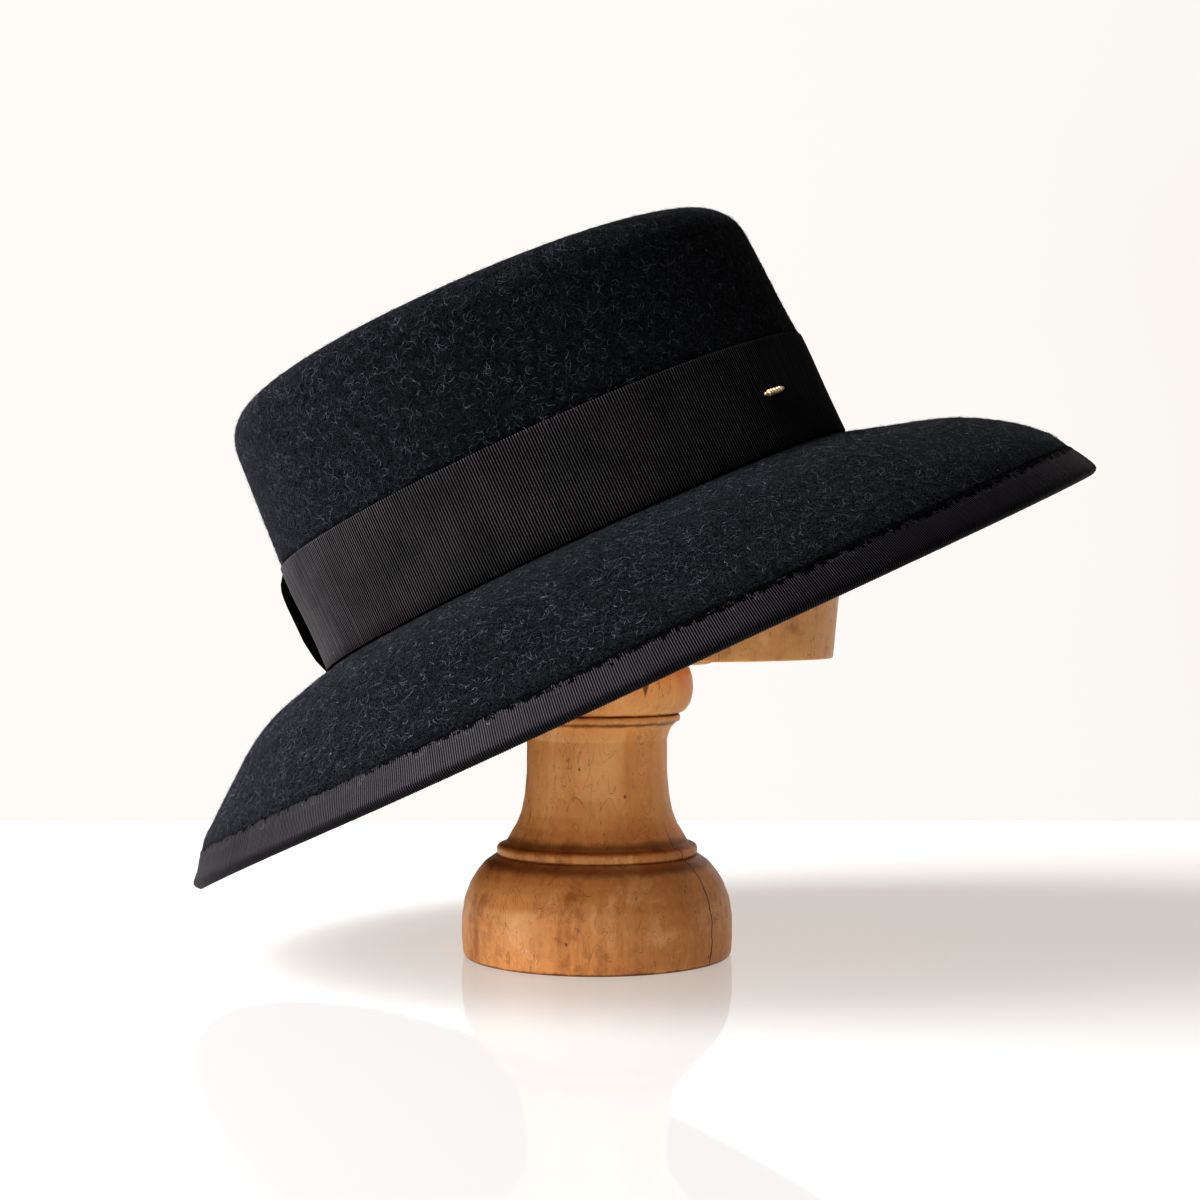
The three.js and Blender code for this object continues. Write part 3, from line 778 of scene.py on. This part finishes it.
# Section of the binding: distance in from the brim's edge, rise off the felt, how ribbed it is
BINDING_SECTION = (
    (12.1, -0.9, 0), (12.4, -0.5, .8), (12.3, -0.05, 1), (11.9, 0.22, 1), (11.2, 0.34, 1), (10.4, 0.26, 1),
    (9.4, 0.42, 1), (7.9, 0.52, 1), (6.3, 0.6, 1), (4.8, 0.66, 1), (3.2, 0.7, 1), (1.6, 0.6, 1),
    (0.55, 0.15, 1), (0.1, -0.75, 1), (0.0, -1.9, 1), (0.3, -2.9, 1), (1.3, -3.65, 1), (3.4, -4.1, 1),
    (8.0, -4.15, 1), (12.0, -3.9, .6), (11.8, -3.0, 0), (2.4, -2.95, 0), (1.05, -1.85, 0), (2.4, -0.9, 0),
)


def make_binding():
    ribs, angles = ribbed_angles(brim_edge, BINDING_PITCH, BINDING_STEPS)
    rib, bump = rib_heights(ribs, BINDING_STEPS, 8, 0.3)
    section = np.array(BINDING_SECTION)
    ribbed = section[:, 2:]
    outward = unit(right_of(np.roll(section[:, :2], -1, 0) - np.roll(section[:, :2], 1, 0)))
    distance = section[:, :1] + outward[:, :1] * bump * ribbed
    rise = section[:, 1:2] + outward[:, 1:] * bump * ribbed
    lip = (section[:, :1] > 11.0) & (section[:, 1:2] > -0.5)
    rng = np.random.default_rng(31)
    ragged = 0.3 * np.repeat(rng.uniform(-1, 1, ribs), BINDING_STEPS)
    distance = distance + np.where(lip, ragged, 0)
    grid = Brim(angles, 90).at(np.maximum(distance, 0), rise)
    values = {"rib": np.broadcast_to(rib, rise.shape) * np.maximum(ribbed, 0.3),
              "across": np.broadcast_to(section[:, :1], rise.shape)}
    grid_piece("ribbed_binding", grid, binding_ribbon, "brim_binding", values, hat_place,
               closed_rows=True)


def on_band(points, start_degrees):
    """Bends points round the band: x along it clockwise from above, y out from it, z up."""
    fine = np.arange(-140, 140, 0.25)
    angles = np.empty(len(fine))
    middle = int(np.argmin(np.abs(fine)))
    angles[middle] = math.radians(start_degrees)
    for way in (1, -1):
        index = middle
        while 0 <= index + way < len(fine):
            angle = angles[index]
            reach = math.hypot(CROWN_LENGTH * math.sin(angle), CROWN_WIDTH * math.cos(angle))
            angles[index + way] = angle - way * 0.25 / reach
            index += way
    angle = np.interp(points[..., 0], fine, angles)
    level = points[..., 2]
    base = crown_point(angle, level, wall_inset(level))
    return base + crown_out(angle) * (0.2 + points[..., 1])[..., None]


def pinched(along):
    free = (BOW_LENGTH - KNOT_WIDTH) / 2
    share = np.maximum(0, np.abs(along) - KNOT_WIDTH / 2) / free
    return (1 - np.minimum(1, share)) ** 2


def make_bow():
    end_radius = (BOW_HEIGHT - RIBBON) / 2
    run = BOW_LENGTH / 2 - end_radius - RIBBON / 2
    flat = np.linspace(-run, run, 160)
    face = CLEARANCE + BOW_HEIGHT - BOW_PINCH_DOWN * pinched(flat) - RIBBON / 2
    turn_back = np.radians(np.linspace(-80, 80, 14))
    middle_out = CLEARANCE + BOW_HEIGHT / 2
    arc = np.stack([end_radius * np.cos(turn_back), end_radius * np.sin(turn_back)], 1)
    path = np.concatenate([
        np.stack([flat, 0 * flat + CLEARANCE + RIBBON / 2], 1),
        arc + (run, middle_out),
        np.stack([flat, face], 1)[::-1],
        arc[::-1] * (-1, 1) + (-run, middle_out),
    ])
    closed = np.vstack([path, path[:1]])
    length = lengths_along(closed)
    ribs = round(length[-1] / RIB_PITCH)
    rib, bump = rib_heights(ribs, RIB_STEPS, 9, 0.2)
    centre = read_path(closed, length, np.arange(len(rib)) / len(rib) * length[-1])
    out = right_of(unit(np.roll(centre, -1, 0) - np.roll(centre, 1, 0)))
    half = (BOW_WIDTH - BOW_PINCH * pinched(centre[:, 0])) / 2
    shares = np.linspace(-1, 1, 15)
    thick = RIBBON * 0.4
    rows, across, rib_shade = [], [], []
    for side, order in ((1, shares), (-1, shares[::-1])):
        for share in order:
            round_edge = 0.55 if abs(share) == 1 else 1.0
            # Small folds where the knot gathers the ribbon
            gather = 0.35 * np.cos(3.2 * math.pi * share) * pinched(centre[:, 0])
            offset = side * thick * round_edge + bump * round_edge * side
            offset = offset + gather * (centre[:, 1] > middle_out)
            flat_point = centre + out * offset[:, None]
            height = BAND_MIDDLE + share * half
            # The loops lie flatter at their rims and towards their ends
            flatter = np.interp(share, (-1, -0.7, -0.3, 0.5, 0.8, 1), (0.3, 0.72, 0.96, 1.0, 0.88, 0.3))
            flatter = 1 - (1 - flatter) * smooth(np.abs(flat_point[:, 0]), run * 0.55, run)
            lifted = CLEARANCE + (flat_point[:, 1] - CLEARANCE) * flatter
            rows.append(np.stack([flat_point[:, 0], lifted, height], 1))
            across.append(20 + share * half)
            rib_shade.append(rib)
    grid = on_band(np.array(rows), BOW_ANGLE)
    values = {"rib": np.array(rib_shade), "across": np.array(across)}
    grid_piece("ribbed_bow", grid, shaded_bow_ribbon, "bow_loops", values, hat_place, closed_rows=True)


def make_knot():
    inside = (BOW_WIDTH - BOW_PINCH) / 2 + CLEARANCE
    bed = CLEARANCE + BOW_HEIGHT - BOW_PINCH_DOWN + CLEARANCE
    corner = 1.6
    crest, low, high = bed + RIBBON - corner, -inside - RIBBON + corner, inside + RIBBON - corner
    bends = np.radians(np.linspace(0, 90, 7))
    outer = [(CLEARANCE, -inside - RIBBON)]
    outer += [(crest + corner * math.sin(bend), low - corner * math.cos(bend)) for bend in bends]
    outer += [(crest + corner * math.cos(bend), high + corner * math.sin(bend)) for bend in bends]
    outer += [(CLEARANCE, inside + RIBBON)]
    outer = np.array(outer)
    length = lengths_along(outer)
    ribs = round(length[-1] / RIB_PITCH)
    rib, bump = rib_heights(ribs, RIB_STEPS, 12, 0.2)
    path = read_path(outer, length, np.linspace(0, length[-1], len(rib)))
    out = right_of(unit(np.gradient(path, axis=0)))
    top, bottom = [], []
    for place in np.linspace(-1, 1, 13) * KNOT_WIDTH / 2:
        fold = 0.3 * math.cos(place * 1.5)
        edge = 0.3 if abs(place) > KNOT_WIDTH / 2 - 0.1 else 0.0
        face = path + out * (bump + fold - 0.3 - edge)[:, None]
        back = path - out * (RIBBON * 0.8)
        for rows, line in ((top, face), (bottom, back)):
            rows.append(np.stack([0 * line[:, 0] + place, line[:, 0], BAND_MIDDLE + line[:, 1]], 1))
    loops = np.array(top + bottom[::-1])
    grid = on_band(np.swapaxes(loops, 0, 1), BOW_ANGLE)
    values = {"rib": np.append(np.repeat(rib[:, None], grid.shape[1], 1).ravel(), [0.5, 0.5]),
              "across": np.full(grid.shape[0] * grid.shape[1] + 2, 20.0)}
    grid_piece("ribbed_knot", grid, shaded_bow_ribbon, "bow_knot", values, hat_place)


def make_pin():
    """A bar with five beads and a small knob at each end, lying along the band."""
    places = np.linspace(-PIN_LENGTH / 2, PIN_LENGTH / 2, 161)
    radius = np.full(len(places), PIN_BAR)
    beads = [((step - PIN_BEADS // 2) * PIN_PITCH, 0.74, PIN_BEAD) for step in range(PIN_BEADS)]
    knobs = [(side * (PIN_LENGTH / 2 - 0.5), 0.5, 0.7) for side in (-1, 1)]
    for centre, half, high in beads + knobs:
        reach = 1 - ((places - centre) / half) ** 2
        radius = np.maximum(radius, high * np.sqrt(np.maximum(reach, 0)))
    round_angle = np.arange(24) / 24 * TURN
    x = np.repeat(places[:, None], 24, 1)
    y = CLEARANCE + PIN_BEAD + radius[:, None] * np.cos(round_angle)
    z = PIN_UP - radius[:, None] * np.sin(round_angle)
    grid = on_band(np.stack([x, y, z], -1), PIN_ANGLE)
    grid_piece("beaded_pin", grid, gilt, "bar_pin", place=hat_place)


# Stand

def lathe(name, profile, node, wobble):
    """A turned piece from its foot up, with a little unevenness left by the tool and by wear."""
    sides = 200
    angles = np.arange(sides) / sides * TURN
    radius, level = profile[:, :1], profile[:, 1:]
    radius = radius + wobble * waves(41, angles[None, :], level / 9, (1, 4)) * (radius > 5)
    grid = np.stack([radius * np.cos(angles), radius * np.sin(angles), np.repeat(level, sides, 1)], -1)
    grid_piece(name, grid[::-1], maple, node)


def rounded(points, reach, steps):
    """Rounds the corners of a profile a little."""
    points = np.array(points, float)
    made = [points[0]]
    for before, corner, after in zip(points, points[1:], points[2:]):
        back, ahead = before - corner, after - corner
        near = min(reach, 0.45 * np.linalg.norm(back), 0.45 * np.linalg.norm(ahead))
        start, end = corner + unit(back) * near, corner + unit(ahead) * near
        for step in range(steps + 1):
            t = step / steps
            made.append(start * (1 - t) ** 2 + 2 * corner * t * (1 - t) + end * t * t)
    made.append(points[-1])
    return np.array(made)


def make_stand():
    foot_up = np.array((0, .03, .18, .4, .58, .73, .83, .93, 1.0)) * FOOT_HEIGHT
    foot_out = np.array((.975, .99, 1, 1, .977, .934, .889, .828, .75)) * FOOT_RADIUS
    ups = np.linspace(0, FOOT_HEIGHT, 40)
    foot = list(zip(np.interp(ups, foot_up, foot_out), ups))
    lower = ((-0.9, 0.15), (-0.05, 0.6), (0.05, 1.6), (0, 2.9), (-0.7, 3.7), (-2.5, 4.15))
    lower = [(LOWER_RING_RADIUS + out, FOOT_HEIGHT + up) for out, up in lower]
    base = FOOT_HEIGHT + LOWER_RING_HEIGHT
    neck_up = np.array((0, .08, .16, .26, .4, .58, .86, .94, 1)) * NECK_HEIGHT
    low_share = np.array((1, .75, .47, .25, .1, 0, 0, 0, 0))
    top_share = np.array((0, 0, 0, 0, 0, 0, 0, .35, 1))
    neck_out = NECK_RADIUS + (NECK_BOTTOM_RADIUS - NECK_RADIUS) * low_share
    neck_out += (NECK_TOP_RADIUS - NECK_RADIUS) * top_share
    ups = np.linspace(0, NECK_HEIGHT, 44)
    neck = list(zip(np.interp(ups, neck_up, neck_out), base + ups))
    base += NECK_HEIGHT
    upper = ((-0.7, 0.1), (-0.1, 0.5), (0.1, 1.4), (0, 2.3), (-0.4, 2.7), (-1.3, 3))
    upper = [(UPPER_RING_RADIUS + out, base + up) for out, up in upper]
    middle = base + UPPER_RING_HEIGHT + BEAD_HALF_HEIGHT
    swell = BEAD_RADIUS - BEAD_NECK_RADIUS
    bends = np.linspace(-1, (PEDESTAL_HEIGHT - middle) / BEAD_HALF_HEIGHT, 26)
    bead = [(BEAD_NECK_RADIUS + swell * math.sqrt(max(0.0, 1 - bend * bend)),
             middle + BEAD_HALF_HEIGHT * bend) for bend in bends]
    ends = [(2, 0), (30, 0)], [(20, PEDESTAL_HEIGHT), (2, PEDESTAL_HEIGHT)]
    profile = rounded(ends[0] + foot + lower + neck + upper + bead + ends[1], 0.5, 2)
    lathe("turned_pedestal", profile, "stand_pedestal", 0.08)
    top = DISC_BASE + DISC_HEIGHT
    disc = [(2, DISC_BASE), (DISC_RADIUS - 0.6, DISC_BASE), (DISC_RADIUS, DISC_BASE + 0.6),
            (DISC_RADIUS, top - 0.8), (DISC_RADIUS - 0.8, top), (2, top)]
    lathe("turned_disc", rounded(disc, 0.5, 3), "stand_disc", 0.1)


def make_block():
    sides = 192
    angles = np.arange(sides) / sides * TURN

    def ring(height, inset):
        return np.stack([BLOCK_FORWARD + (BLOCK_LENGTH - inset) * np.cos(angles),
                         (BLOCK_WIDTH - inset) * np.sin(angles), BLOCK_BASE + height + 0 * angles], 1)

    rows = [ring(BLOCK_HEIGHT, inset) for inset in (60, 50, 40, 30, 22)]
    for bend in np.radians(np.linspace(0, 90, 13)):
        rows.append(ring(BLOCK_HEIGHT - BLOCK_SHOULDER * (1 - math.cos(bend)),
                         BLOCK_SHOULDER * (1 - math.sin(bend))))
    for high in np.linspace(BLOCK_HEIGHT - BLOCK_SHOULDER, BLOCK_DRAFT, 22)[1:]:
        rows.append(ring(high, 0))
    for share in np.linspace(0, 1, 12)[1:]:
        rows.append(ring(BLOCK_DRAFT * (1 - share) + 0.8 * share, BLOCK_INSET * share))
    rows += [ring(0.25, BLOCK_INSET + 0.2), ring(0, BLOCK_INSET + 0.8), ring(0, 30), ring(0, 60)]

    # Kept inside the felt, which leans over it
    local = moved(np.array(rows), hat_place.inverted())
    gap = FELT + CLEARANCE + 0.1
    corner = CROWN_CORNER - gap
    wall_height = CROWN_HEIGHT - CROWN_CORNER
    roof = CROWN_HEIGHT - gap - CROWN_FALL * local[..., 0] / CROWN_LENGTH
    local[..., 2] = np.minimum(local[..., 2], roof)
    high = np.clip((local[..., 2] - wall_height) / corner, 0, 1)
    inset = wall_inset(local[..., 2]) + gap + corner * (1 - np.sqrt(1 - high**2))
    reach = np.hypot(local[..., 0] / (CROWN_LENGTH - inset), local[..., 1] / (CROWN_WIDTH - inset))
    local[..., :2] /= np.maximum(reach, 1)[..., None]
    grid_piece("oval_block", moved(local, hat_place), limewood, "stand_block")


# Floor, light and camera

def stage_plane(name, corners, material):
    mesh = bpy.data.meshes.new(name)
    mesh.from_pydata(corners, [], [tuple(range(len(corners)))])
    mesh.materials.append(material)
    plane = bpy.data.objects.new(name, mesh)
    bpy.context.scene.collection.objects.link(plane)
    return plane


def make_stage():
    material, tree, shader, coords = new_material("table")
    glow = between(tree, parts_of(tree, coords)[1], 0.12, 0.46, 0.42, 0.59)
    wire(tree, shader, {"Emission Strength": glow},
         {"Base Color": (0.30, 0.32, 0.34, 1), "Roughness": 1.0, "Specular IOR Level": 0.0,
          "Emission Color": (1, 0.925, 0.865, 1)})
    gloss = add(tree, "BsdfAnisotropic", {"Roughness": 0.035, "Color": (1, 1, 1, 1)})
    both = add(tree, "MixShader", {0: 0.18, 1: shader.outputs[0], 2: gloss.outputs[0]})
    tree.links.new(both.outputs[0], tree.nodes["Material Output"].inputs["Surface"])
    corners = [(-4, -2.5, 0), (4, -2.5, 0), (4, TABLE_EDGE, 0), (-4, TABLE_EDGE, 0)]
    stage_plane("table_top", corners, material)
    material, tree, shader, coords = new_material("wall")
    right = between(tree, parts_of(tree, coords)[0], 0.1, 1.6)
    cloud = noise(tree, coords, 1.3, 2.0)
    warm = times(tree, right, between(tree, cloud, 0.3, 0.7, 0.5, 1.0))
    colour = mixed(tree, warm, *WALL_TONES)
    wire(tree, shader, {"Emission Color": colour},
         {"Base Color": (0, 0, 0, 1), "Specular IOR Level": 0.0, "Emission Strength": 1.0})
    corners = [(x, WALL_BACK, z) for x, z in ((-5, -2), (5, -2), (5, 4), (-5, 4))]
    wall = stage_plane("wall", corners, material)
    wall.visible_diffuse = False


def make_light(name, place, target, size, power, colour):
    data = bpy.data.lights.new(name, "AREA")
    data.shape = "RECTANGLE"
    data.size, data.size_y = size
    data.energy = power
    data.color = colour
    lamp = bpy.data.objects.new(name, data)
    lamp.location = place
    lamp.rotation_euler = (Vector(target) - Vector(place)).to_track_quat("-Z", "Y").to_euler()
    bpy.context.scene.collection.objects.link(lamp)


def make_camera():
    data = bpy.data.cameras.new("camera")
    data.sensor_width = 36
    data.lens = CAMERA_LENS
    data.clip_start = 0.01
    camera = bpy.data.objects.new("camera", data)
    camera.location = CAMERA_PLACE
    camera.rotation_euler = (math.pi / 2, 0, 0)
    bpy.context.scene.collection.objects.link(camera)
    bpy.context.scene.camera = camera


crown_rows, brim_rows = make_felt()
make_fibres("crown_fibres", crown_rows, CROWN_FIBRES, 17)
# The brim's fibres stay clear of the band and of the binding
make_fibres("brim_fibres", brim_rows[3:-2], BRIM_FIBRES, 19)
make_band()
make_binding()
make_bow()
make_knot()
make_pin()
make_stand()
make_block()
make_stage()
for lamp in LAMPS:
    make_light(*lamp)
make_camera()

world = bpy.data.worlds.new("studio")
world.use_nodes = True
world.node_tree.nodes["Background"].inputs["Color"].default_value = (1.0, 0.985, 0.97, 1)
world.node_tree.nodes["Background"].inputs["Strength"].default_value = 0.09
bpy.context.scene.world = world
bpy.context.scene.view_settings.view_transform = "Standard"
bpy.context.scene.view_settings.look = "High Contrast"
